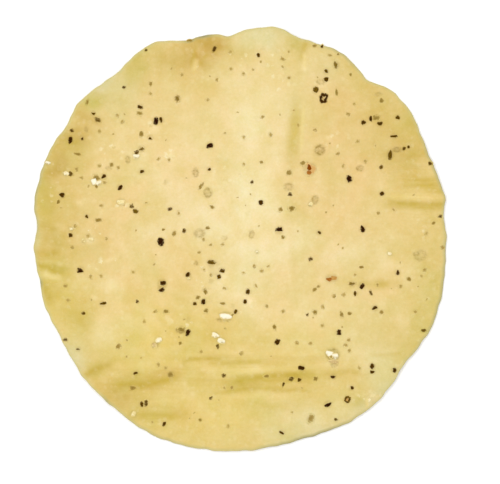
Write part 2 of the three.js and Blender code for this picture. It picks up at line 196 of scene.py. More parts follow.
# Faint specks of husk just under the surface, as [x, y].
FAINT_SPECKS = [
    [-65.2, -3.2], [-58.9, 1.2], [-51.6, 0.1], [-53.8, -14.4], [-41.4, -13], [-66.7, -23.9],
    [-67.7, -18.3], [-37.1, -32.1], [-13.9, -0.1], [-15.5, -5.2], [6, -10.5], [8.9, -12.4],
    [6.6, -18.3], [10.8, -26.2], [17.2, -28.2], [40.9, -21.7], [32.5, -33.7], [22.5, -40.6],
    [28, -40.8], [41.6, -41.5], [42.8, -39.4], [47, -50.3], [68.8, -28.3], [72.4, -11.9], [72.9, 2],
    [63.1, -18.6], [60.4, 11.4], [-14.9, -44], [1.1, -44.6], [-4.3, -73], [-2.9, -58.1],
    [17.2, 70.2], [19.5, 62.9], [-8.5, 62.4], [-22.4, 64.1], [1.7, 64.4], [29.5, 42.7], [23, 44.5],
    [40.7, 28.5], [-63.4, 27.3], [-61.6, 24.1], [-54.5, 28.6], [-23.6, 10], [2, 29.3], [42.5, 48.9],
    [-3.3, 73.1], [-45.6, 45.8], [-47.3, 48.1], [-54.4, 42], [-64, 5], [-53.7, 12.9], [-31.5, 31.4],
    [-27.5, 30.9], [-52.5, 22.2], [-46.9, 27.9], [-32.8, -28.4], [-31.6, -49.1], [-28.5, -50.4],
    [-12.3, 54.2], [38.5, 33.3], [46.3, 38.1], [49.4, 30.2], [54.3, 10], [35.4, 71.6], [9, 47.8],
    [1.7, 39.6], [12.3, 40.7], [-5.5, -19.3], [1.6, -13.3], [-11.2, -14], [-13.8, -11.9],
    [-11, -2.4], [-6.3, -2.1], [43.2, -43.6], [32.7, -26.5], [54, -17.6], [-34.5, 56.7],
    [-3.2, 66.4], [37, -22.3], [-57.9, -14.9], [79.4, -3.4],
]
FAINT_SIZE = [1.2, 1.02]
FAINT_TURN_STEP = 40
FAINT_SHADE = 0.92

# Flakes of chilli and pale chips as [x, y, width, length, turn, shade], where the shade runs
# from the darkest or whitest to the faintest.
CHILLI = [
    [27.5, 27.2, 4.2, 4.4, 0, 1], [28.2, 27.9, 3, 2.8, 0, 0.12], [27.4, 25.9, 1.9, 1.5, 10, 0.42],
    [35.2, -15.5, 2.3, 2.2, 0, 0.42], [37.1, -15.3, 2.6, 1.8, 5, 0.68],
    [42.3, -62.5, 1.9, 2.1, 30, 0.75],
]
CHILLI_RISE = 0.2
CHIPS = [
    [-5.2, -30.2, 4.1, 1.9, -8, 0], [-9.2, -37.6, 2.7, 1.7, -15, 0.3],
    [-6.8, -39.9, 2.7, 2, -20, 0.15], [-31.4, -39.4, 2.2, 1.8, 35, 0.35],
    [-33, -41.7, 1.7, 1.7, 0, 0.8], [-41.2, -68.4, 1.3, 2.7, -25, 0.6],
    [-56.6, 22.2, 1.8, 2.1, 10, 0.15], [-54.8, 22, 1.7, 2.1, -15, 0.2],
    [-40.2, 32.2, 2.3, 1.6, 0, 0.2], [-67.4, 25.5, 1.9, 1.6, 0, 0.3],
    [-74.6, 29.8, 2, 1.2, -25, 0.1], [-57.7, -0.1, 1.7, 1.2, 0, 0.55],
    [28, 13.6, 1.4, 1.6, -30, 0.5], [-19.6, -15.3, 1, 0.9, 0, 0.4], [-60.5, -1.1, 1, 0.9, 0, 0.55],
    # The chips at [35.4, -44.7] and [37.4, -45.7] are the white top of a blister, a painted
    # highlight; the one at [36.8, -47.8] is its beige lower half.
    [-65.5, 3.9, 1.2, 1.1, 0, 0.5], [-46, 14.4, 2.8, 1.9, -15, 0.6], [35.4, -44.7, 2.4, 2.3, 0, 0],
    [37.4, -45.7, 2.3, 2.2, -20, 0.1], [36.8, -47.8, 3.4, 1.4, -12, 1], [7, -5.1, 0.9, 0.9, 0, 0.3],
    [58.9, -5.7, 1.4, 1.2, 0, 0.4],
]
CHIP_RISE = 0.26

# The one peppercorn that was sliced across, and the curl of chilli stalk.
PEPPERCORN_RING = dict(
    row=[33, 55, 3.7, 4.4, -35], thickness=0.82, squash=0.5, shade=0.24, seed=5,
)
CHILLI_RING = dict(
    row=[42.3, -62.6, 2.7, 3.1, -35], thickness=0.54, squash=0.7, shade=0.46, seed=23,
)
RING_SIDES = 8
RING_STATIONS = 48
# How the rings' outlines and their thickness vary, as the fineness and the reach of noise that
# is read on a circle of this radius.
RING_NOISE_RADIUS = 1.3
RING_WOBBLE = (0.8, 0.25)
RING_THICKENING = (1.6, 0.5)

# Patches of husk seen through the dough, and at one chip its outline and painted shadow, as [x, y,
# width, length, strength].
HUSK_AND_CHIP_SHADOW_PATCHES = [
    [-17, 25.9, 2.2, 3.7, 0.9], [-12, 18.1, 3.3, 3.8, 0.8], [31.4, 34.9, 3.8, 4, 1],
    [19.2, 20.4, 3.5, 3.1, 0.7], [29.6, 15.2, 2.9, 3.3, 0.8], [47.2, 27.7, 3.1, 2.1, 1],
    [69, -5.8, 2.2, 1.3, 0.9], [70.6, -6.4, 4.6, 4.2, 0.5], [4.9, 1.8, 1.9, 3, 1],
    [-5.6, 0.4, 2, 1.6, 0.5], [-16.5, -9.5, 1.8, 2, 0.8], [61.6, 34.9, 3.4, 2, 1],
    [-32.8, -41.3, 2.6, 2, 0.9], [-51, 27.4, 2.2, 1.4, 0.5], [-28.5, 22.2, 1.6, 1.8, 0.4],
    [-23.6, 10, 1.6, 2, 0.6], [31.8, 61.3, 3.6, 2, 0.6], [-15.6, 2.2, 3.9, 3.4, 0.7],
    # The patches at [-6, -31.6] and [-5.2, -29] are the painted shadow and the outline of the white
    # chip at [-5.2, -30.2].
    [-43.4, 30.8, 1.7, 2.9, 0.7], [-22.7, -35.5, 3.8, 2.3, 1], [-6, -31.6, 5.4, 1.7, 0.8],
    [54.4, 56.5, 2.4, 1.3, 0.6], [36.4, -45.2, 5, 4.4, 0.9], [37.2, -49.2, 2.6, 1.6, 0.7],
    [-5.2, -29, 4.2, 0.9, 0.5], [-59.6, 42.6, 1.2, 2.2, 0.7], [-30, -17.9, 3.4, 4.2, 0.3],
    [-9.4, -11.4, 5, 5.4, 0.2],
]
# A patch is strongest in a ring this far out, faint in its middle and gone beyond.
PATCH_RING = 0.85
PATCH_GONE = 1.4
PATCH_RING_WIDTH = 0.3
PATCH_MIDDLE = 0.45

# The finest specks, scattered by a seeded draw clear of the bits above.
SPECK_COUNT = 60
SPECK_SIZE = [0.4, 0.9]
SPECK_CLEARANCE = 2.0
SPECK_RISE = 0.06
SPECK_REACH = 0.95
SPECK_SHADE = 1.0
SPECK_SEED = 4128
# The lower the squareness, the squarer a bit is.
BIT_SQUARENESS = 0.88
SHADE_SPREAD = 0.12

# ---- The visible sheet ----

TOP_SPACING = 0.62
UNDER_SPACING = 0.95
# How many spacings the last ring of a face keeps from the rim at least.
LAST_RING_GAP = 1.2
RIM_COUNT = 832
EDGE_ROUND = 0.24
# The rounded rim, as (inset from the outline, share of the thickness up from the underside).
RIM_PROFILE = [(EDGE_ROUND, 1.0), (0.07, 0.86), (0.0, 0.5), (0.07, 0.14), (EDGE_ROUND, 0.0)]
# The visible rim stays this far inside the solid's.
RIM_INSET = 0.08
# The visible underside lies this far above the solid's, so that the bits show through it.
UNDER_GAP = 0.06
# The share of the upper face's unevenness that the underside has.
UNDER_UNEVENNESS = 0.5
# Unevenness of the rolled dough as [length, height].
UNEVENNESS = [[17, 0.075], [6.5, 0.05], [2.6, 0.028], [1.2, 0.012]]
# The layers of noise for the two faces, what parts one length's from the next, and the layers
# for the wandering of the tones.
TOP_LAYER = 0.5
UNDER_LAYER = 40.5
LAYER_STEP = 7.3
WANDER_LAYERS = (61.3, 83.9)
# How high and how wide the dough swells up round a bit, and where that is taken to end.
COLLAR_HEIGHT = 0.08
COLLAR_WIDTH = 0.5
COLLAR_REACH = 2
# How far the visible papadum stays inside the solid's lowest and highest levels.
LOWEST = 0.02

# ---- Tones of the dough ----

# Colours as they look in the studio light, and each tone's patches as
# [x, y, half-width along X, half-width along Y, strength, turn where there is one]. A later tone
# lies over an earlier one.
STRAW = (236, 210, 140)
OUTER_TONE = (219, 195, 107)
OUTER_SHARE = 0.45
# The share of the radius at which the outer tone starts.
OUTER_START = 0.7
TONES = {
    "rose": ((237, 206, 139), [
        [41, 35, 24, 37, 0.8], [-54, 4, 15, 18, 0.6], [-25, 56, 16, 9.4, 0.5],
        [41, -8, 19, 16, 0.3], [-23, -24, 12, 10, 0.3],
    ]),
    "tan": ((221, 193, 111), [
        [55, 50, 12, 16, 0.9, 20], [68, 38, 7, 14, 0.9], [40, 58, 7, 7, 0.3],
        [-64, 34, 8, 14, 0.8, -20], [-68, 10, 8, 16, 0.7], [-72, -6, 9, 8, 0.6],
        [-62, -6, 8, 8, 0.6], [-66, -22, 8, 7, 0.6], [-44, 62, 6, 7, 0.5],
    ]),
    "olive": ((231, 205, 114), [
        [-35, -41, 19, 18, 0.8], [-4, -69, 31, 12, 0.7], [20, -37, 21, 7, 0.35],
        [-11, -37, 16, 12, 0.5], [-70, -24, 12, 12, 0.6], [8, -53, 30, 9, 0.6],
    ]),
    "lilac": ((246, 220, 162), [
        [-21, 13, 9, 12, 0.85], [-25, 33, 8, 6.5, 0.85], [-35, 3, 5.5, 7, 0.5],
        [-50, -18, 2.7, 2.7, 0.7], [-43, 39, 7, 7.8, 0.3], [0, 50, 7, 7.8, 0.4],
        [-12, 13, 8, 9, 0.6],
    ]),
    "cream": ((247, 229, 173), [
        [6, 16, 12, 19, 1], [6, 46, 12, 14, 0.85], [10, 62, 11, 8, 0.35], [-2, 3, 13, 11, 0.6],
        [12, -5, 9, 8, 0.6], [-3, -18, 9, 9, 0.8], [26, -27, 6, 5, 0.45], [9, -26, 8, 7, 0.4],
        [24, 4, 9, 9, 0.35], [39, -5, 12, 7, 0.35], [61, -11, 7, 5, 0.35], [-38, 33, 4.7, 3.1, 0.3],
        [-11, 23, 5.5, 7.8, 0.3], [-52, -36, 9, 8, 0.35],
    ]),
    "pale": ((230, 218, 159), [
        [10, 79, 13, 5, 0.9, -5], [35, 67, 7.8, 7, 0.35], [-47, 57, 8, 8, 0.6],
        [-53, 59, 5.5, 3.1, 0.6, 45], [-64, -47, 6.2, 7, 0.9], [57, -53, 9, 10, 0.7, 45],
        [52, -38, 14, 9, 0.3], [24, -73, 20, 5, 0.65, 12], [-78, -1, 1.6, 3.9, 0.8],
        [20, -66, 14, 5, 0.4],
    ]),
    "green": ((209, 192, 101), [
        [-57, 54, 5, 4, 0.9, 40], [-40, 69, 5, 8, 0.7], [-76, 20, 3, 17, 0.6, -8],
        [-57, -51.5, 5.5, 2.5, 0.9, 15], [47, 65, 5.5, 6.2, 0.4], [67, 46, 5.5, 9.8, 0.7],
        [75, -17, 4.3, 14, 0.5], [71, -36, 5, 9, 0.7, -15], [64, -46, 3.1, 4.7, 0.5, -25],
        [46.4, -64.4, 2.4, 2, 0.9], [-50, -64, 4.7, 2, 0.7, -40], [24, 76, 3.5, 3.1, 0.7],
        [-35, 75, 5.5, 2, 0.5, 5], [78, 33, 4, 8, 0.6], [-71, -13, 5, 3, 0.6],
    ]),
    # Gold lies along the creases as painted shade, and elsewhere as a deeper tone of the dough.
    "gold_and_crease_shade": ((210, 183, 79), [
        [-35, -69, 12.5, 2.4, 0.6, 3], [21.8, 42, 2.4, 9.5, 0.65, -5],
        [21.4, -10, 1.4, 15, 0.15, 3], [-74, -11, 7, 2.7, 0.5], [-74, -20, 4.7, 4.5, 0.7],
        [-62, -30, 7.8, 7, 0.4], [14, -65, 10, 2.3, 0.4, -3], [-75, 9, 3.9, 12, 0.4],
        [-13, -39, 12, 5.5, 0.3], [55, -18, 9, 1.8, 0.35], [22, 12, 3.9, 7, 0.3],
        [12, -55.4, 17, 3.4, 0.6, 5], [-38, -56, 12, 3, 0.6, 3],
    ]),
    # Brown along the creases and the fold at the top is painted shade; elsewhere it is a deeper
    # tone of the dough.
    "brown": ((205, 171, 84), [
        [-12, 76, 8.5, 5.5, 1, -3], [-15, 71, 5, 4, 0.7], [-22, 70, 13, 6, 0.4],
        [-64, 40, 5.5, 4.3, 0.85, 30], [-71, 28, 3.5, 5.5, 0.85], [-59, 47, 6, 2.5, 0.6, -30],
        [66, 32, 9, 5, 0.45], [61, 35, 3.1, 2, 0.6], [-46, -61, 6, 6, 0.75],
        [-36, -56.5, 9, 2.5, 0.5], [-27, -52, 6, 2, 0.5, 10], [-74, 1, 5, 4, 0.4],
        [4, -57, 7, 2, 0.4],
    ]),
    # Ochre is painted shade along the creases.
    "ochre_crease_shade": ((206, 180, 76), [
        [72.5, 21.4, 8, 2.2, 0.9, -6], [77, 19.4, 6, 2, 0.9, -14], [24, -53.4, 8, 1.4, 0.7],
    ]),
    "bluish": ((221, 209, 153), [
        [-52, 61, 6, 2.4, 0.8, 45], [-65, -47, 7, 2.6, 0.8, -57], [14, 81, 9, 2.2, 0.3],
        [27, -76.5, 17, 2.2, 0.7, 17], [52, -62, 12, 2.6, 0.7, 40], [80.5, -8, 1.6, 13, 0.5],
        [-78, 26, 1.5, 10, 0.4, -12],
    ]),
    "lumps": ((252, 230, 172), [
        [-33, 43, 2.4, 1.4, 0.6, -20], [-48, 36, 2.2, 1.2, 0.4], [-62, 14, 1.5, 1, 0.5],
        [-58, -0.5, 1.8, 1.2, 0.6], [-26.5, 33.5, 1.2, 1.2, 0.4], [6.5, 8, 1.6, 2.2, 0.4],
        [-6, -15, 1.4, 1.4, 0.5], [4, -24, 1.4, 1.2, 0.6], [24, -29.5, 2.2, 2, 0.6],
        [-49, -18.5, 2.6, 2.4, 0.6], [-56.5, -23, 1.2, 1, 0.6], [-28, -31, 1, 1, 0.7],
        [-50.5, -8, 3, 0.8, 0.5, 20], [-70, -10, 1.2, 1, 0.6], [25.5, 66.5, 1.2, 1, 0.6],
        [32.5, 60, 2.6, 1.6, 0.5], [35, 39.5, 1.5, 0.8, 0.6], [-18.5, -60.5, 1, 1, 0.5],
        [-21.5, -56.5, 0.8, 1.5, 0.5], [-12.5, -12.5, 2, 2, 0.4],
    ]),
}
# How far a patch's edge wanders, as [length, reach].
TONE_WANDER = [[9, 2.2], [3.5, 1.0]]
# The tones whose patches are thin or small, and the share of the wandering that they keep.
THIN_TONES = ["gold_and_crease_shade", "ochre_crease_shade", "bluish", "lumps"]
THIN_WANDER = 0.2
# Where dark and pale streaks run along X over the creased places, and where small cream flecks
# show, as the tones' patches. Elsewhere fewer flecks show.
STREAKED = [
    [2, -52, 33, 9, 1], [-40, -57, 17, 7, 0.7], [70, 21, 12, 13, 0.8], [-74, -9, 8, 8, 0.6],
    [-36, -69, 12, 3, 0.7],
]
FLECKED = [
    [-49.5, 34.7, 5, 4, 1], [-34, 42.5, 4, 3, 1], [-26, 31.6, 5, 4, 0.8], [-46.4, 13.3, 3, 2.5, 1],
    [-60, 1.6, 6, 4, 1], [-52, -9, 7, 2, 1, 20], [-13, -15, 5, 6, 1], [-23, -32, 6, 3, 0.9],
    [12, 71, 6, 4, 0.8], [15, 61, 4, 6, 0.7], [32.4, 59.7, 3, 1.8, 1], [39.4, 37.8, 4, 3, 1],
    [27, -28.5, 3.5, 2.5, 1], [51, -63, 5, 3, 1], [0, -25, 4, 4, 0.8], [-3, 25, 8, 8, 0.5],
    [0, 70, 5, 3, 0.6], [-70, -43, 4, 3, 0.8], [-15, 68.6, 3, 2, 1], [70, 3.5, 5, 5, 0.5],
    [-74, 20, 4, 10, 0.5],
]
FLECKED_ELSEWHERE = 0.15
# Fine lines of painted shade along the creases, and of painted light beside them, as [strength,
# half-width, points]. Their taper starts just before their ends, where a little of them is left.
PAINTED_SHADE_LINES = [
    [0.8, 0.8, [[-21.8, -50.7], [-21.1, -48], [-18.3, -47], [-12.9, -46.8], [-5.1, -47.4]]],
    [0.45, 1.2, [[-16, -47.6], [-9, -48.2], [-2, -48.2], [6, -47.8], [14, -47.6]]],
    [0.8, 1.7, [[-6.6, -56.6], [0.4, -55.4], [9, -53.8], [17.9, -53.2], [25, -53], [30.8, -54.2]]],
    [0.4, 1.3, [[30.8, -53.4], [35.5, -51.5], [43.3, -51.5], [51.1, -53.8]]],
    [0.6, 0.9, [
        [-13.3, -60.5], [-5.5, -59.7], [2.3, -58.5], [9, -58.3], [16.8, -59.3], [23.8, -58.7],
        [30.8, -60.1],
    ]],
    [0.7, 1.2, [[-60.5, -52.7], [-57.3, -51.5], [-52.7, -49.9], [-48.8, -49.5]]],
    [0.8, 1.6, [
        [-50.3, -55], [-46.4, -56.6], [-40.2, -57.1], [-34.7, -56.2], [-28.5, -55.2],
        [-21.5, -54.6],
    ]],
    [0.6, 1.4, [[-42.5, -69], [-34.7, -68.3], [-26.1, -69], [-18.3, -68.3]]],
    [0.7, 1.4, [[56.9, 14], [64.7, 13.8], [72.5, 12.9], [82, 13.3]]],
    [0.6, 1.3, [[-83, -5.9], [-73.7, -5.9], [-69, -5.1]]],
    [0.8, 0.9, [[-83, -9.4], [-75.7, -10.9], [-71.8, -12.9], [-67.5, -14]]],
    [0.4, 0.8, [[-16.4, 77], [-17.6, 71.4], [-18.3, 68.3], [-18.7, 65.1]]],
    [0.4, 0.9, [[-11.4, 73.6], [-13.8, 70], [-15.6, 67.2]]],
    [0.5, 1.1, [[26.9, 79], [25.4, 74.5], [24.6, 71.4], [25, 68.3]]],
    [0.4, 1, [[-73, 36.7], [-66, 37.4], [-60, 38.2]]], [0.35, 0.9, [[64.7, 33.9], [75, 33.5]]],
    [0.35, 1.3, [[46.4, -17.9], [54.2, -17.2], [60.8, -18.7]]],
    [0.5, 1.5, [[-77, -15], [-75, -21], [-73, -26]]],
    [0.3, 0.8, [[50, -45.5], [60, -44.8], [66, -44]]],
]
PAINTED_LIGHT_LINES = [
    [0.5, 1.4, [[-20.3, -50], [-9.4, -51], [4.3, -51.5], [17.9, -50.9], [30, -50.3]]],
    [0.4, 1.2, [[-9.4, -62.2], [0.4, -61], [14, -61.4], [25.7, -61.8]]],
    [0.5, 1.3, [[56, 16.4], [68.6, 16.2], [80, 16]]],
    [0.6, 0.6, [[25, 54], [24.9, 46.4], [24.5, 38.6], [24, 32]]],
    [0.7, 1.2, [[-77.6, -12.9], [-72.9, -14.8], [-68.3, -15.6]]],
    [0.4, 1.2, [[7, -43.3], [15, -44.5], [24, -44.9], [34, -44.5]]],
    [0.6, 0.9, [[25.4, 73], [25.7, 69.8], [25.7, 66]]], [0.6, 0.7, [[49.5, -61.5], [50, -66.5]]],
    [0.5, 0.7, [[53.8, -60.5], [54, -64]]], [0.6, 1.1, [[-16.2, 71], [-16.8, 67.5], [-18, 64.5]]],
    [0.4, 1, [[-23, -58], [-22, -62], [-18, -62.5]]], [0.4, 1.2, [[-64, -54], [-58, -58]]],
]
LINE_TAPER_START = -0.02
# How much wider than a crease its painted shade is, and the depth at which that shade is full.
CREASE_SHADE_WIDTH = 1.15
CREASE_SHADE_DEPTH = 0.5
# Where the rim's edge is darker with painted shadow, as [bearing, half-width, strength], and the
# shares of the radius from which the rim's tones start and are full.
RIM_EDGE_SHADOW = [
    [290, 13, 0.7], [345, 18, 0.4], [99.7, 2.2, 0.9], [104, 1.2, 0.9], [20, 9, 0.35],
    [192.6, 1.2, 0.6], [230.8, 1.5, 0.5], [60, 6, 0.3], [168, 10, 0.35], [250, 14, 0.25],
]
RIM_EDGE_SHADOW_BAND = (0.99, 0.996)
RIM_BAND = (0.982, 0.998)

# ---- Draws, curves and places ----

DRAW_FACTOR = 48271
DRAW_RANGE = 2147483647
# How far apart seeded draws may shift a noise.
NOISE_RANGE = 50


def make_draw(seed):
    """Seeded draws from 0 to 1."""
    state = seed

    def draw():
        nonlocal state
        state = state * DRAW_FACTOR % DRAW_RANGE
        return state / DRAW_RANGE

    return draw


def lerp(low, high, share):
    return low + (high - low) * share


def smoothstep(value, low, high):
    share = np.clip((value - low) / (high - low), 0, 1)
    return share * share * (3 - 2 * share)


def bell(distance, half_width):
    return np.exp(-((distance / half_width) ** 2))


def turned(x, y, across, along, turn):
    """Places that lie across and along from x and y, once that is turned."""
    angle = math.radians(turn)
    east = x + across * math.cos(angle) - along * math.sin(angle)
    north = y + across * math.sin(angle) + along * math.cos(angle)
    return east, north


def at_bearing(radius, bearing):
    """Places at these radii and bearings, as rows of [x, y]."""
    angle = np.radians(bearing)
    return np.stack([radius * np.cos(angle), radius * np.sin(angle)], 1)


def bearing_of(x, y):
    return (np.degrees(np.arctan2(y, x)) + 360) % 360


def sum_round_rim(rows, bearing):
    """The sum, at each bearing, of rows of [bearing, half-width, size]."""
    total = np.zeros_like(bearing, float)
    for centre, half_width, size in rows:
        gap = np.abs((bearing - centre + 540) % 360 - 180)
        total += size * bell(gap, half_width)
    return total


def outline_radius(bearing):
    radius = RADIUS + sum_round_rim(LOBES, bearing)
    for number, reach, shift in EDGE_WAVES:
        radius += reach * np.sin(np.radians(number * bearing + shift))
    return radius


def middle_of_outline():
    """The middle of the outline's box, which the solid sets over the origin."""
    bearing = np.arange(0, 360, 360 / RIM_POINTS)
    rim = at_bearing(outline_radius(bearing), bearing)
    return (rim.min(0) + rim.max(0)) / 2


MIDDLE = middle_of_outline()


def share_out(x, y):
    """How far out each place lies, as a share of the outline's radius."""
    return np.hypot(x, y) / outline_radius(bearing_of(x, y))


def nearest_on_line(points, x, y):
    """How far each place is from a line, and how far along it, as a share of its length."""
    passed = 0.0
    nearest = np.full(np.shape(x), np.inf)
    along = np.zeros(np.shape(x))
    for (start_x, start_y), (end_x, end_y) in zip(points, points[1:]):
        step_x, step_y = end_x - start_x, end_y - start_y
        length = math.hypot(step_x, step_y)
        share = ((x - start_x) * step_x + (y - start_y) * step_y) / length**2
        share = np.clip(share, 0, 1)
        distance = np.hypot(x - start_x - share * step_x, y - start_y - share * step_y)
        closer = distance < nearest
        nearest = np.where(closer, distance, nearest)
        along = np.where(closer, passed + share * length, along)
        passed += length
    return nearest, along / passed


def on_line(strength, half_width, points, x, y, taper_start=0):
    """A line's strength at each place, which falls off to its sides and towards its ends."""
    distance, along = nearest_on_line(points, x, y)
    taper = smoothstep(np.minimum(along, 1 - along), taper_start, CREASE_TAPER)
    return strength * taper * bell(distance, half_width)


def line_weight(lines, x, y):
    """How strongly each place lies on one of the lines, from 0 to 1."""
    total = np.zeros_like(x)
    for line in lines:
        total = np.maximum(total, on_line(*line, x, y, LINE_TAPER_START))
    return total


def zone_weight(zones, x, y):
    """How strongly any of the zones holds at each place, from 0 to 1."""
    left = np.ones_like(x)
    for centre_x, centre_y, half_x, half_y, strength, *turn in zones:
        back = -turn[0] if turn else 0
        along, across = turned(0, 0, x - centre_x, y - centre_y, back)
        left *= 1 - strength * bell(np.hypot(along / half_x, across / half_y), 1)
    return 1 - left


def noise_at(x, y, length, layer):
    """Smooth noise from -1 to 1, of that length, at each place."""
    return np.array([noise.noise(Vector((u / length, v / length, layer))) for u, v in zip(x, y)])


def relief(x, y):
    """Height of the solid's underside above the table."""
    sprung = smoothstep(np.hypot(x, y), FLAT_RADIUS, SPRUNG_RADIUS)
    curled = np.maximum(0, (share_out(x, y) - CURL_START) / (1 - CURL_START)) ** CURL_POWER
    swell = SWELL_HEIGHT * np.sin(2 * np.pi * x / SWELL_LENGTH[0] + 1)
    swell = swell * np.cos(2 * np.pi * y / SWELL_LENGTH[1])
    height = sprung * (SPRUNG_HEIGHT + swell) + curled * sum_round_rim(CURLS, bearing_of(x, y))
    for crease in CREASES:
        height = height - sprung * on_line(*crease, x, y)
    return np.maximum(0, height)


def uneven_height(x, y, layer):
    total = np.zeros_like(x)
    for i, (length, height) in enumerate(UNEVENNESS):
        total += height * noise_at(x, y, length, layer + LAYER_STEP * i)
    return total


def surface_height(x, y):
    """Height of the dough's upper face, before it swells up round the bits."""
    return relief(x, y) + THICKNESS + uneven_height(x, y, TOP_LAYER)


# ---- Colours and objects ----

# A pale floor is just white at this level of light, and the gloss adds a little to every colour.
LIGHT_LEVEL = 1.3
GLOSS_LEVEL = 0.034
DARKEST = 0.001


def linear(value):
    """A colour's channel from 0 to 255 as linear light, by the sRGB curve."""
    value = value / 255
    return value / 12.92 if value <= 0.04045 else ((value + 0.055) / 1.055) ** 2.4


def seen(red, green, blue, gloss=GLOSS_LEVEL):
    """The base colour that looks like this colour, from 0 to 255, in the studio light."""
    channels = [(linear(v) - gloss) / LIGHT_LEVEL for v in (red, green, blue)]
    return (*[max(v, DARKEST) for v in channels], 1.0)


def blend(first, second, share):
    return first + (np.array(second) - first) * share[:, None]


def dough_base(x, y, gloss):
    """The dough's base colour at each place, before its mottling."""
    outer = OUTER_SHARE * smoothstep(share_out(x, y), OUTER_START, 1.0)
    colour = np.tile(seen(*STRAW, gloss), (len(x), 1))
    colour = blend(colour, seen(*OUTER_TONE, gloss), outer)
    for tone, zones in TONES.values():
        colour = blend(colour, seen(*tone, gloss), zone_weight(zones, x, y))
    return colour


def add_object(name, data):
    made = bpy.data.objects.new(name, data)
    bpy.context.scene.collection.objects.link(made)
    return made


def make_object(name, x, y, z, faces, attributes):
    """A mesh object in metres from places in millimetres, with one number or colour a point for
    each named attribute."""
    points = np.stack([x - MIDDLE[0], y - MIDDLE[1], z], 1)
    mesh = bpy.data.meshes.new(name)
    mesh.from_pydata((points * MM).tolist(), [], faces)
    mesh.validate()
    for key, values in attributes.items():
        values = np.asarray(values, np.float32)
        kind, field = ("FLOAT_COLOR", "color") if values.ndim == 2 else ("FLOAT", "value")
        layer = mesh.attributes.new(key, kind, "POINT")
        layer.data.foreach_set(field, values.ravel())
    mesh.shade_smooth()
    mesh.update()
    return add_object(name, mesh)


# ---- The dough sheet ----


def plan_rings(spacing):
    """Rings of points from the middle to just inside the rim, as (share of radius, count)."""
    rings = [(0.0, 1)]
    radius = spacing
    while radius < RADIUS - LAST_RING_GAP * spacing:
        rings.append((radius / RADIUS, round(2 * math.pi * radius / spacing)))
        radius += spacing
    return rings


def stitch(inner, outer):
    """Triangles between two rings of (first point, count), anticlockwise from above."""
    (inner_first, inner_count), (outer_first, outer_count) = inner, outer
    around = [outer_first + i % outer_count for i in range(outer_count + 1)]
    if inner_count == 1:
        return [(inner_first, *pair) for pair in zip(around, around[1:])]
    faces = []
    i = o = 0
    while i < inner_count or o < outer_count:
        corner = inner_first + i % inner_count
        outer_is_next = (o + 1) * inner_count <= (i + 1) * outer_count
        if o < outer_count and (i >= inner_count or outer_is_next):
            faces.append((corner, around[o], around[o + 1]))
            o += 1
        else:
            i += 1
            faces.append((corner, around[o], inner_first + i % inner_count))
    return faces


def face_plan(spacing):
    """Places of one face's points, its rings and its triangles seen from above."""
    plan, rings, faces = [], [], []
    for share, count in plan_rings(spacing):
        bearing = 360 * np.arange(count) / count
        radius = share * (outline_radius(bearing) - RIM_INSET - EDGE_ROUND)
        rings.append((sum(len(p) for p in plan), count))
        plan.append(at_bearing(radius, bearing))
    for inner, outer in zip(rings, rings[1:]):
        faces += stitch(inner, outer)
    return np.concatenate(plan), rings, faces


def collar(x, y, bits):
    """How far the dough swells up round each bit, from 0 to 1."""
    total = np.zeros_like(x)
    for bit_x, bit_y, width, length, _, _ in bits:
        reach = (width + length) / 4
        far = reach + COLLAR_REACH
        near = (np.abs(x - bit_x) < far) & (np.abs(y - bit_y) < far)
        gap = np.hypot(x[near] - bit_x, y[near] - bit_y) - reach
        total[near] = np.maximum(total[near], bell(np.maximum(gap, 0), COLLAR_WIDTH))
    return total


def crease_shade_and_ridge_light(x, y):
    """How deep in a crease each place lies, from 0 to 1, and on a ridge below 0: the weight of the
    painted shade in creases and of the painted light on ridges.
    """
    total = np.zeros_like(x)
    for depth, half_width, points in CREASES:
        total += on_line(depth, half_width * CREASE_SHADE_WIDTH, points, x, y)
    return np.clip(total / CREASE_SHADE_DEPTH, -1, 1)


def husk_below(x, y):
    """How strongly husk shows through the dough, most at the rim of each patch; two patches are a
    chip's outline and painted shadow instead.
    """
    total = np.zeros_like(x)
    for patch_x, patch_y, width, length, strength in HUSK_AND_CHIP_SHADOW_PATCHES:
        out = np.hypot((x - patch_x) / (width / 2), (y - patch_y) / (length / 2))
        ring = PATCH_MIDDLE + (1 - PATCH_MIDDLE) * bell(out - PATCH_RING, PATCH_RING_WIDTH)
        shape = (1 - smoothstep(out, PATCH_RING, PATCH_GONE)) * ring
        total = np.maximum(total, strength * shape)
    return total


def sheet_weights(x, y):
    """The weights of the dough's tones, lines and marks at each place."""
    wander_x, wander_y = np.zeros_like(x), np.zeros_like(x)
    for length, reach in TONE_WANDER:
        wander_x += reach * noise_at(x, y, length, WANDER_LAYERS[0])
        wander_y += reach * noise_at(x, y, length, WANDER_LAYERS[1])
    loose = (x + wander_x, y + wander_y)
    thin = (x + THIN_WANDER * wander_x, y + THIN_WANDER * wander_y)
    share = share_out(x, y)
    creased = crease_shade_and_ridge_light(x, y)
    # Painted shadow along the rim's edge at the listed bearings.
    dark_rim = np.minimum(sum_round_rim(RIM_EDGE_SHADOW, bearing_of(x, y)), 1)
    weights = {
        key: zone_weight(zones, *(thin if key in THIN_TONES else loose))
        for key, (_, zones) in TONES.items()
    }
    weights.update({
        "flecked": zone_weight(FLECKED, *loose), "streak": zone_weight(STREAKED, *loose),
        # Painted shade along the creases and painted light beside them.
        "painted_shade_line": line_weight(PAINTED_SHADE_LINES, *thin), "painted_light_line": line_weight(PAINTED_LIGHT_LINES, *thin),
        # The ring round each pale chip is painted shadow, and the husk patches hold one chip's
        # painted shadow too.
        "husk_below": husk_below(*thin), "wet": collar(x, y, plan_bits(CHIPS, 0)),
        # Crease and ridge: painted shade in the creases and painted light on the ridges.
        "outer": smoothstep(share, OUTER_START, 1.0), "crease": np.maximum(creased, 0),
        "ridge": np.maximum(-creased, 0), "rim": smoothstep(share, *RIM_BAND),
        "dark_rim": dark_rim * smoothstep(share, *RIM_EDGE_SHADOW_BAND),
    })
    return weights


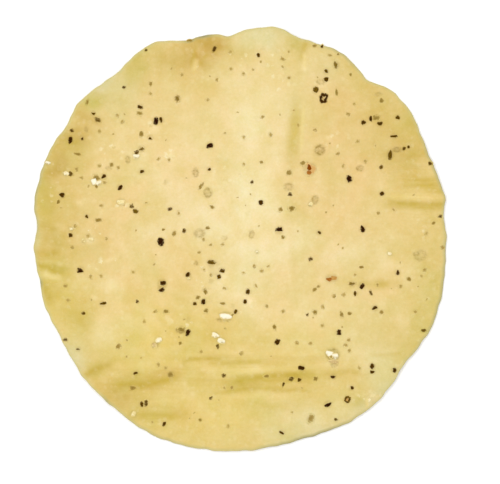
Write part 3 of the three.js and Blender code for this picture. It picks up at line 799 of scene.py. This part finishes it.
def make_sheet(bits):
    top_plan, top_rings, top_faces = face_plan(TOP_SPACING)
    under_plan, under_rings, under_faces = face_plan(UNDER_SPACING)
    bearing = 360 * np.arange(RIM_COUNT) / RIM_COUNT
    rim_radius = outline_radius(bearing) - RIM_INSET
    rim_plan = [at_bearing(rim_radius - inset, bearing) for inset, _ in RIM_PROFILE]

    x, y = np.concatenate([top_plan, *rim_plan, under_plan]).T
    share_up = np.concatenate([
        np.ones(len(top_plan)),
        *[np.full(RIM_COUNT, share) for _, share in RIM_PROFILE],
        np.zeros(len(under_plan)),
    ])
    swollen = collar(x, y, bits)
    top = surface_height(x, y) + COLLAR_HEIGHT * swollen
    dip = np.maximum(0, uneven_height(x, y, UNDER_LAYER))
    under = relief(x, y) + UNDER_GAP + dip * UNDER_UNEVENNESS
    z = np.minimum(under + (top - under) * share_up, CAD_TOP - LOWEST)

    first_rim = len(top_plan)
    rim_rings = [(first_rim + RIM_COUNT * i, RIM_COUNT) for i in range(len(RIM_PROFILE))]
    faces = top_faces + stitch(top_rings[-1], rim_rings[0])
    for upper, lower in zip(rim_rings, rim_rings[1:]):
        faces += stitch(upper, lower)
    shift = first_rim + RIM_COUNT * len(RIM_PROFILE)
    under_last = (under_rings[-1][0] + shift, under_rings[-1][1])
    faces += [(a, c, b) for a, b, c in stitch(under_last, rim_rings[-1])]
    faces += [(a + shift, c + shift, b + shift) for a, b, c in under_faces]
    return make_object("dough_sheet", x, y, z, faces, {**sheet_weights(x, y), "stain": swollen})


# ---- The bits ----


def plan_bits(rows, rise):
    """Rows of bits with their turn and rise, as (x, y, width, length, turn, rise)."""
    return [(*(*row, 0)[:5], rise) for row in rows]


def scatter_specks(taken):
    """The finest specks by a seeded draw, clear of the bits taken."""
    draw = make_draw(SPECK_SEED)
    found = []
    while len(found) < SPECK_COUNT:
        bearing = 360 * draw()
        radius = SPECK_REACH * math.sqrt(draw()) * float(outline_radius(np.array([bearing]))[0])
        width = lerp(*SPECK_SIZE, draw())
        length = lerp(*SPECK_SIZE, draw())
        turn = 180 * draw()
        x, y = turned(0, 0, radius, 0, bearing)
        gaps = [math.hypot(bit[0] - x, bit[1] - y) for bit in taken + found]
        if min(gaps) > SPECK_CLEARANCE:
            found.append((x, y, width, length, turn, SPECK_RISE))
    return found


def unit_ball(divisions):
    """Corners and faces of a ball of triangles with radius 1."""
    ball = bmesh.new()
    bmesh.ops.create_icosphere(ball, subdivisions=divisions, radius=1)
    ball.verts.ensure_lookup_table()
    corners = np.array([v.co for v in ball.verts])
    faces = [tuple(v.index for v in f.verts) for f in ball.faces]
    ball.free()
    return corners, faces


def broken(corners, draw, cuts, depth):
    """The ball's corners pressed flat onto a few random planes, as a cracked grain is."""
    points = corners.copy()
    for _ in range(cuts):
        height = 2 * draw() - 1
        turn = 2 * math.pi * draw()
        flat = math.sqrt(1 - height * height)
        normal = np.array([flat * math.cos(turn), flat * math.sin(turn), height])
        reach = lerp(depth, 1.0, draw())
        over = np.maximum(0, points @ normal - reach)
        points = points - over[:, None] * normal
    return points


def wrinkled(points, draw, size, fineness):
    """The points pushed in and out by smooth noise."""
    shift = Vector([NOISE_RANGE * draw() for _ in range(3)])
    push = [size * noise.noise(Vector(p) * fineness + shift) for p in points]
    return points * (1 + np.array(push))[:, None]


def fill_box(points):
    """The points stretched to reach just 1 either way along X and Y, and up."""
    low, high = points.min(0), points.max(0)
    centred = points - [(low[0] + high[0]) / 2, (low[1] + high[1]) / 2, 0]
    unit = centred / [(high[0] - low[0]) / 2, (high[1] - low[1]) / 2, high[2]]
    unit[:, :2] = np.sign(unit[:, :2]) * np.abs(unit[:, :2]) ** BIT_SQUARENESS
    return unit


def make_bits(name, bits, shades, look):
    """Many bits as one mesh, each with its own shade, following the dough's upper face."""
    corners, ball_faces = unit_ball(look["divisions"])
    draw = make_draw(look["seed"])
    places, heights, faces, shade_values, south = [], [], [], [], []
    for (x, y, width, length, turn, rise), shade in zip(bits, shades):
        grain = broken(corners, draw, look["cuts"], look["depth"])
        grain = fill_box(wrinkled(grain, draw, look["wrinkle"], look["fineness"]))
        up = grain[:, 2]
        across = grain[:, 0] * width / 2 * look["growth"]
        along = grain[:, 1] * length / 2 * look["growth"]
        east, north = turned(x, y, across, along, turn)
        first = len(places) * len(corners)
        faces += [tuple(first + i for i in face) for face in ball_faces]
        places.append(np.stack([east, north], 1))
        heights.append(np.where(up > 0, up * up * rise, up * look["reach_down"]))
        shade_values.append(np.full(len(corners), shade + SHADE_SPREAD * (draw() - 0.5)))
        south.append((y - north) / (0.5 * max(width, length)))
    x, y = np.concatenate(places).T
    z = np.clip(surface_height(x, y) + np.concatenate(heights), LOWEST, CAD_TOP - LOWEST)
    middles = np.array([bit[:2] for bit in bits])
    ground = dough_base(middles[:, 0], middles[:, 1], look["gloss"])
    return make_object(name, x, y, z, faces, {
        "shade": np.clip(np.concatenate(shade_values), 0, 1), "south": np.concatenate(south),
        "inward": np.tile(corners[:, 2], len(bits)), "ground": np.repeat(ground, len(corners), 0),
    })


def make_ring(name, ring, look):
    """An uneven ring lying flush in the dough. Inward is 1 along its crest."""
    x, y, width, length, turn = ring["row"]
    draw = make_draw(ring["seed"])
    shift = Vector((NOISE_RANGE * draw(), NOISE_RANGE * draw(), 0))
    points, faces = [], []
    for i in range(RING_STATIONS):
        around = 2 * math.pi * i / RING_STATIONS
        east, north = math.cos(around), math.sin(around)
        place = Vector((east * RING_NOISE_RADIUS, north * RING_NOISE_RADIUS, 0)) + shift
        wobble, thickening = [
            1 + reach * noise.noise(place * fineness)
            for fineness, reach in (RING_WOBBLE, RING_THICKENING)
        ]
        thick = ring["thickness"] * thickening
        here, after = i * RING_SIDES, (i + 1) % RING_STATIONS * RING_SIDES
        for j in range(RING_SIDES):
            section = 2 * math.pi * j / RING_SIDES
            radial = thick * math.cos(section)
            across = (width / 2 * wobble - ring["thickness"] + radial) * east
            along = (length / 2 * wobble - ring["thickness"] + radial) * north
            crest = math.sin(section)
            height = ring["squash"] * thick * crest
            points.append((*turned(x, y, across, along, turn), height, crest))
            up = (j + 1) % RING_SIDES
            faces.append((here + j, after + j, after + up, here + up))
    x, y, height, crest = np.array(points).T
    return make_object(name, x, y, surface_height(x, y) + height, faces, {
        "shade": np.full(len(x), ring["shade"]), "inward": np.clip(crest, 0, 1),
        "south": np.zeros(len(x)), "ground": dough_base(x, y, look["gloss"]),
    })


# ---- Materials ----

# The raggedness of flecks: how much finer it is than their spacing, its detail, and how far it
# bends them, as a share of their spacing.
FLECK_FINENESS = 2.6
FLECK_DETAIL = 2
FLECK_BEND = 0.8


class Shader:
    """A short way to put nodes into a material and join them."""

    def __init__(self, name):
        self.material = bpy.data.materials.new(name)
        self.material.use_nodes = True
        self.tree = self.material.node_tree
        self.place = self.node("ShaderNodeTexCoord").outputs["Object"]

    def node(self, kind, inputs=None, **settings):
        """A node with these settings, and with numbers, colours or other nodes' outputs put into
        its inputs."""
        made = self.tree.nodes.new(kind)
        for key, value in settings.items():
            setattr(made, key, value)
        self.put(made, inputs or {})
        return made

    def put(self, node, inputs):
        for key, value in inputs.items():
            if isinstance(value, bpy.types.NodeSocket):
                self.tree.links.new(value, node.inputs[key])
            else:
                node.inputs[key].default_value = value

    def set_surface(self, **inputs):
        """Sets the surface's inputs, whose names are given with _ for each space."""
        surface = self.tree.nodes["Principled BSDF"]
        self.put(surface, {key.replace("_", " "): value for key, value in inputs.items()})

    def attribute(self, name, output="Fac"):
        return self.node("ShaderNodeAttribute", attribute_name=name).outputs[output]

    def noise(self, length, detail=3.0, roughness=0.5, distortion=0.0, across=None):
        """Noise from 0 to 1 whose lumps are about that long, in millimetres, and where across
        is given, that wide along Y."""
        wide = length if across is None else across
        place = self.vector("MULTIPLY", self.place, [1 / (v * MM) for v in (length, wide, length)])
        return self.node("ShaderNodeTexNoise", {
            "Vector": place, "Scale": 1.0, "Detail": detail, "Roughness": roughness,
            "Distortion": distortion,
        }).outputs["Fac"]

    def ramp(self, value, low, high, start=0.0, end=1.0):
        """The value's stretch from low to high, smoothly turned into start to end."""
        return self.node("ShaderNodeMapRange", {
            "Value": value, "From Min": low, "From Max": high, "To Min": start, "To Max": end,
        }, interpolation_type="SMOOTHSTEP").outputs["Result"]

    def pattern(self, length, start=0.0, end=1.0, low=0.3, high=0.7, **more):
        """Noise of that length whose stretch from low to high is turned into start to end."""
        return self.ramp(self.noise(length, **more), low, high, start, end)

    def flecks(self, spacing, share, size, soft, seed):
        """Ragged flecks from 0 to 1. share is how many of the cells hold one, and size how large
        the largest is, as a share of the spacing in millimetres."""
        place = self.vector("ADD", self.place, (seed, seed / 3, 0))
        ragged = self.node("ShaderNodeTexNoise", {
            "Vector": place, "Scale": FLECK_FINENESS / (spacing * MM), "Detail": FLECK_DETAIL,
        }).outputs["Color"]
        bent = self.vector("MULTIPLY_ADD", ragged, [FLECK_BEND * spacing * MM] * 3, place)
        cells = self.node("ShaderNodeTexVoronoi", {"Vector": bent, "Scale": 1 / (spacing * MM)})
        drawn = self.node("ShaderNodeSeparateColor", {"Color": cells.outputs["Color"]})
        there = self.ramp(drawn.outputs["Red"], 1 - share, 1.0, 0.0, size)
        return self.ramp(self.math("SUBTRACT", there, cells.outputs["Distance"]), -soft, soft)

    def vector(self, operation, *values):
        made = self.node("ShaderNodeVectorMath", dict(enumerate(values)), operation=operation)
        return made.outputs["Vector"]

    def math(self, operation, *values):
        made = self.node("ShaderNodeMath", dict(enumerate(values)), operation=operation)
        return made.outputs["Value"]

    def times(self, first, second):
        return self.math("MULTIPLY", first, second)

    def mix(self, share, first, second, mode="MIX"):
        return self.node("ShaderNodeMix", {
            "Factor": share, "A": first, "B": second,
        }, data_type="RGBA", blend_type=mode).outputs["Result"]

    def bump(self, height, strength, distance):
        made = self.node("ShaderNodeBump", {
            "Strength": strength, "Distance": distance * MM, "Height": height,
        })
        self.set_surface(Normal=made.outputs["Normal"])


# Patterns of noise in the dough, whose lengths are in millimetres. The first makes the strength
# of the tones uneven, and the last the roughness.
TONE_PATTERN = dict(length=6, detail=4, start=0.8, end=1.15)
STREAK_PATTERN = dict(length=24, detail=4, roughness=0.6, distortion=0.5, across=2.4)
CLOUD_PATTERN = dict(length=13, detail=5, roughness=0.62, low=0.2, high=0.8)
HUE_PATTERN = dict(length=16, distortion=0.4, low=0.25, high=0.75)
GRAIN_PATTERN = dict(length=0.9, roughness=0.6, low=0.25, high=0.75, start=0.35, end=0.65)
ROUGHNESS_PATTERN = dict(length=3, detail=4, start=0.5, end=0.66)

STREAK_TONES = [(212, 184, 88), (240, 217, 140)]
STREAK_SHARE = 0.42
# The marks in the dough as (attribute, strength, colour), and the patterns that break some up.
MARKS = [
    # Crease and ridge: painted shade in the creases and painted light on the ridges.
    ("crease", 0.25, (208, 182, 84)), ("ridge", 0.4, (240, 217, 146)),
    # Painted shade along the creases and painted light beside them.
    ("painted_shade_line", 1.0, (204, 176, 70)), ("painted_light_line", 1.0, (243, 219, 144)),
    # The ring round each pale chip is painted shadow, and the husk patches hold one chip's painted
    # shadow too.
    ("husk_below", 0.95, (166, 139, 66)), ("wet", 0.4, (196, 178, 112)),
    ("stain", 0.35, (176, 146, 78)),
]
MARK_PATTERNS = {
    "painted_shade_line": dict(length=3.5, high=0.6, start=0.6, end=1.1),
    "husk_below": dict(length=1.0, roughness=0.6, low=0.32, high=0.6, start=0.35),
}
# What the low and the high places of each pattern do to the dough's colour.
DARK_TINT = (0.93, 0.915, 0.72, 1.0)
LIGHT_TINT = (1.07, 1.085, 1.28, 1.0)
WARM_TINT = (1.025, 0.985, 0.98, 1.0)
COOL_TINT = (0.975, 1.013, 1.0, 1.0)
TINTS = [
    (CLOUD_PATTERN, DARK_TINT, LIGHT_TINT), (HUE_PATTERN, WARM_TINT, COOL_TINT),
    (GRAIN_PATTERN, DARK_TINT, LIGHT_TINT),
]
# The flecks as (spacing, share, size, softness, seed, strength, colour).
FLECKS = [
    (3.6, 0.6, 0.42, 0.1, 0.31, 0.5, (249, 232, 174)),
    (2.1, 0.6, 0.42, 0.12, 0.57, 0.75, (253, 240, 192)),
    (2.9, 0.4, 0.36, 0.12, 0.19, 0.4, (198, 172, 98)),
]
RIM_TONE = (213, 203, 138)
RIM_SHARE = 0.7
RIM_EDGE_SHADOW_TONE = (152, 147, 100)
DOUGH_BUMPS = [dict(length=0.7, detail=4, roughness=0.6), dict(length=2.2)]
DOUGH_BUMP_STRENGTH = 0.35
DOUGH_BUMP_HEIGHT = 0.12


def dough_material():
    shader = Shader("dried_dough")
    uneven = shader.pattern(**TONE_PATTERN)
    outer = shader.times(shader.times(shader.attribute("outer"), uneven), OUTER_SHARE)
    colour = shader.mix(outer, seen(*STRAW), seen(*OUTER_TONE))
    for key, (tone, _) in TONES.items():
        colour = shader.mix(shader.times(shader.attribute(key), uneven), colour, seen(*tone))
    streaks = shader.mix(shader.pattern(**STREAK_PATTERN), *[seen(*t) for t in STREAK_TONES])
    colour = shader.mix(shader.times(shader.attribute("streak"), STREAK_SHARE), colour, streaks)
    for key, strength, tone in MARKS:
        weight = shader.attribute(key)
        if key in MARK_PATTERNS:
            weight = shader.times(weight, shader.pattern(**MARK_PATTERNS[key]))
        colour = shader.mix(shader.times(weight, strength), colour, seen(*tone))
    for pattern, low_tint, high_tint in TINTS:
        tint = shader.mix(shader.pattern(**pattern), low_tint, high_tint)
        colour = shader.mix(1.0, colour, tint, "MULTIPLY")
    shown = shader.ramp(shader.attribute("flecked"), 0, 1, FLECKED_ELSEWHERE, 1.0)
    for *fleck, strength, tone in FLECKS:
        weight = shader.times(shader.times(shader.flecks(*fleck), shown), strength)
        colour = shader.mix(weight, colour, seen(*tone))
    colour = shader.mix(shader.times(shader.attribute("rim"), RIM_SHARE), colour, seen(*RIM_TONE))
    # Painted shadow along the rim's edge at the listed bearings.
    colour = shader.mix(shader.attribute("dark_rim"), colour, seen(*RIM_EDGE_SHADOW_TONE))
    shader.set_surface(
        Base_Color=colour, Roughness=shader.pattern(**ROUGHNESS_PATTERN), Specular_IOR_Level=0.35,
        Subsurface_Weight=0.12, Subsurface_Radius=(1.0, 0.7, 0.3), Subsurface_Scale=1.0 * MM,
    )
    height = shader.math("ADD", *[shader.noise(**bumps) for bumps in DOUGH_BUMPS])
    shader.bump(height, DOUGH_BUMP_STRENGTH, DOUGH_BUMP_HEIGHT)
    return shader.material


# The colours of bits by their shade.
PEPPER_SHADES = [
    (0.0, (42, 14, 0)), (0.25, (64, 36, 0)), (0.45, (96, 68, 6)), (0.65, (132, 106, 34)),
    (0.85, (166, 138, 68)), (1.0, (188, 161, 90)),
]
CHILLI_SHADES = [
    (0.0, (112, 42, 0)), (0.25, (142, 72, 8)), (0.5, (184, 122, 52)), (0.75, (204, 156, 84)),
    (1.0, (221, 174, 106)),
]
CHIP_SHADES = [
    (0.0, (255, 248, 220)), (0.3, (252, 239, 194)), (0.6, (244, 223, 150)),
    (1.0, (204, 172, 108)),
]

# How each kind of bit is shaped and coloured. Growth is how much larger it is drawn, as its
# fringe lies under the dough: inward, which is 1 at a bit's middle and 0 at its outline, fades
# it from lapped down to gone. Seed is for the draws that crack and wrinkle its bits.
PEPPER_LOOK = dict(
    divisions=3, cuts=5, depth=0.38, wrinkle=0.14, fineness=1.8, growth=1.48, reach_down=THICKNESS,
    gloss=0.0, mottling=0.08, lapped=0.86, gone=0.33, roughness=0.85, creased=0.6, seed=90210,
)
HUSK_LOOK = dict(
    divisions=3, cuts=4, depth=0.5, wrinkle=0.25, fineness=1.8, growth=1.7, reach_down=0.3,
    gloss=0.002, mottling=0.14, lapped=1.02, gone=0.45, roughness=0.75, creased=0.4, seed=311,
)
SPECK_LOOK = dict(HUSK_LOOK, divisions=2, growth=1.6, reach_down=0.1, mottling=0.1, seed=77)
CHILLI_LOOK = dict(
    HUSK_LOOK, growth=1.35, gloss=0.0, mottling=0.1, lapped=0.85, gone=0.3, roughness=0.5,
    creased=0.5, seed=1201,
)
STALK_LOOK = dict(CHILLI_LOOK, mottling=0.25)
CHIP_LOOK = dict(
    HUSK_LOOK, cuts=6, depth=0.4, fineness=1.5, growth=1.35, gloss=0.012, mottling=0.2,
    lapped=0.75, gone=0.3, roughness=0.4, shadow=(186, 164, 100), seed=451,
)
# Patterns of noise in the bits: their mottling, the edge of their shadow, their fringe, their
# roughness and its spread, and their creases.
MOTTLE_PATTERN = dict(length=0.7, detail=4, roughness=0.65)
SHADOW_PATTERN = dict(length=1.2, start=-0.5, end=0.5)
SHADOW_RAMP = dict(low=0.2, high=1.0, end=0.8)
FRINGE_PATTERN = dict(length=0.7, roughness=0.6, start=-0.18, end=0.18)
BIT_ROUGHNESS_LENGTH = 0.8
BIT_ROUGHNESS_SPREAD = 0.08
CREASE_NOISE = dict(length=0.35, detail=4, roughness=0.6)
CREASE_BUMP_HEIGHT = 0.08
# The gloss that a specular level of 1 stands for.
GLOSS_OF_LEVEL = 0.04


def bit_material(name, shades, look):
    """Bits in their own shades, mottled and finely wrinkled. The fringe of each fades into the
    dough that laps over it, and its south side into its shadow's tone where it has one."""
    shader = Shader(name)
    gloss = look["gloss"]
    mottle = shader.pattern(start=-look["mottling"], end=look["mottling"], **MOTTLE_PATTERN)
    shade = shader.math("ADD", shader.attribute("shade"), mottle)
    ramp = shader.node("ShaderNodeValToRGB", {"Fac": shade})
    stops = ramp.color_ramp.elements
    while len(stops) < len(shades):
        stops.new(1.0)
    for stop, (place, tone) in zip(stops, shades):
        stop.position = place
        stop.color = seen(*tone, gloss)
    colour = ramp.outputs["Color"]
    if "shadow" in look:
        side = shader.math("ADD", shader.attribute("south"), shader.pattern(**SHADOW_PATTERN))
        side = shader.ramp(side, **SHADOW_RAMP)
        colour = shader.mix(side, colour, seen(*look["shadow"], gloss))
    inward = shader.math("ADD", shader.attribute("inward"), shader.pattern(**FRINGE_PATTERN))
    fringe = shader.ramp(inward, look["lapped"], look["gone"])
    colour = shader.mix(fringe, colour, shader.attribute("ground", "Color"))
    rough = [look["roughness"] + side * BIT_ROUGHNESS_SPREAD for side in (-1, 1)]
    shader.set_surface(
        Base_Color=colour, Roughness=shader.pattern(BIT_ROUGHNESS_LENGTH, *rough),
        Specular_IOR_Level=gloss / GLOSS_OF_LEVEL,
    )
    shader.bump(shader.noise(**CREASE_NOISE), look["creased"], CREASE_BUMP_HEIGHT)
    return shader.material


# ---- Putting the papadum together ----


def dress(piece, material):
    piece.data.materials.append(material)
    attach(piece, "root")
    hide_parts("papadum")


def by_size(bits):
    """The larger a peppercorn's piece, the blacker it looks."""
    sizes = np.array([(bit[2] + bit[3]) / 2 for bit in bits])
    return list(SMALL_PEPPER_SHADE - PEPPER_SHADE_FALL * smoothstep(sizes, *PEPPER_SIZES))


def make_papadum():
    pepper = plan_bits(PEPPER, PEPPER_RISE)
    brown_pepper = plan_bits(BROWN_PEPPER, PEPPER_RISE)
    crumbs = plan_bits(PEPPER_CRUMBS, CRUMB_RISE)
    husk = plan_bits(HUSK, HUSK_RISE)
    brown = plan_bits(SMALL_BROWN, SMALL_RISE)
    olive = plan_bits(SMALL_OLIVE, SMALL_RISE)
    chilli = plan_bits(CHILLI, CHILLI_RISE)
    chips = plan_bits(CHIPS, CHIP_RISE)
    faint = [
        (*place, *FAINT_SIZE, FAINT_TURN_STEP * i % 180, SPECK_RISE)
        for i, place in enumerate(FAINT_SPECKS)
    ]
    black = pepper + brown_pepper + crumbs
    taken = black + husk + brown + olive + chilli + chips + faint
    specks = scatter_specks(taken)
    dress(make_sheet(black + husk + chilli), dough_material())

    skin = bit_material("cracked_pepper", PEPPER_SHADES, PEPPER_LOOK)
    shades = by_size(pepper)
    shades += [BROWN_PEPPER_SHADE] * len(brown_pepper) + [CRUMB_SHADE] * len(crumbs)
    dress(make_bits("pepper_bits", black, shades, PEPPER_LOOK), skin)
    dress(make_ring("sliced_peppercorn", PEPPERCORN_RING, PEPPER_LOOK), skin)

    skin = bit_material("husk", PEPPER_SHADES, HUSK_LOOK)
    shades = HUSK_SHADES + [SMALL_BROWN_SHADE] * len(brown) + [SMALL_OLIVE_SHADE] * len(olive)
    dress(make_bits("husk_bits", husk + brown + olive, shades, HUSK_LOOK), skin)
    skin = bit_material("faint_husk", PEPPER_SHADES, SPECK_LOOK)
    shades = [FAINT_SHADE] * len(faint) + [SPECK_SHADE] * len(specks)
    dress(make_bits("faint_specks", faint + specks, shades, SPECK_LOOK), skin)

    skin = bit_material("chilli_flake", CHILLI_SHADES, CHILLI_LOOK)
    shades = [row[5] for row in CHILLI]
    dress(make_bits("chilli_flakes", chilli, shades, CHILLI_LOOK), skin)
    skin = bit_material("chilli_stalk", PEPPER_SHADES, STALK_LOOK)
    dress(make_ring("chilli_curl", CHILLI_RING, STALK_LOOK), skin)

    skin = bit_material("pale_chip", CHIP_SHADES, CHIP_LOOK)
    shades = [row[5] for row in CHIPS]
    dress(make_bits("pale_chips", chips, shades, CHIP_LOOK), skin)


# ---- Stage, light and camera ----

PX = 0.39 * MM
FRAME_WIDTH = 500 * PX
# Where the picture's middle lies, from the middle of the sheet before it was centred.
AIM = (11 * PX, -3 * PX)
LENS = 200.0
# The height above the table where the picture is as wide as the frame.
FRAME_HEIGHT = 2.5 * MM

FLOOR_HALF = 3.0
FLOOR_PATTERN = dict(length=60, detail=2)
FLOOR_TONES = [(0.97, 0.97, 0.965, 1), (0.98, 0.98, 0.975, 1)]
SKY_LEVEL = 0.72
KEY_PLACE = (-0.07, 0.05, 0.95)
KEY_SIZE = 0.5
KEY_POWER = 5.9


def make_camera():
    data = bpy.data.cameras.new("camera")
    data.lens = LENS
    camera = add_object("camera", data)
    distance = LENS / data.sensor_width * FRAME_WIDTH
    across, along = AIM[0] - MIDDLE[0] * MM, AIM[1] - MIDDLE[1] * MM
    camera.location = (across, along, distance + FRAME_HEIGHT)
    bpy.context.scene.camera = camera


def make_floor():
    mesh = bpy.data.meshes.new("floor")
    corners = [(-1, -1), (1, -1), (1, 1), (-1, 1)]
    mesh.from_pydata([(x * FLOOR_HALF, y * FLOOR_HALF, 0) for x, y in corners], [], [(0, 1, 2, 3)])
    shader = Shader("floor")
    colour = shader.mix(shader.pattern(**FLOOR_PATTERN), *FLOOR_TONES)
    shader.set_surface(Base_Color=colour, Roughness=0.8, Specular_IOR_Level=0.1)
    mesh.materials.append(shader.material)
    add_object("floor", mesh)


def make_light():
    world = bpy.data.worlds.new("studio")
    world.use_nodes = True
    sky = world.node_tree.nodes["Background"].inputs
    sky["Color"].default_value = (1, 1, 1, 1)
    sky["Strength"].default_value = SKY_LEVEL
    bpy.context.scene.world = world

    data = bpy.data.lights.new("key", "AREA")
    data.shape = "DISK"
    data.size = KEY_SIZE
    data.energy = KEY_POWER
    key = add_object("key", data)
    key.location = KEY_PLACE
    key.rotation_euler = (-Vector(KEY_PLACE)).to_track_quat("-Z", "Y").to_euler()
    bpy.context.scene.view_settings.view_transform = "Standard"


make_papadum()
make_camera()
make_floor()
make_light()

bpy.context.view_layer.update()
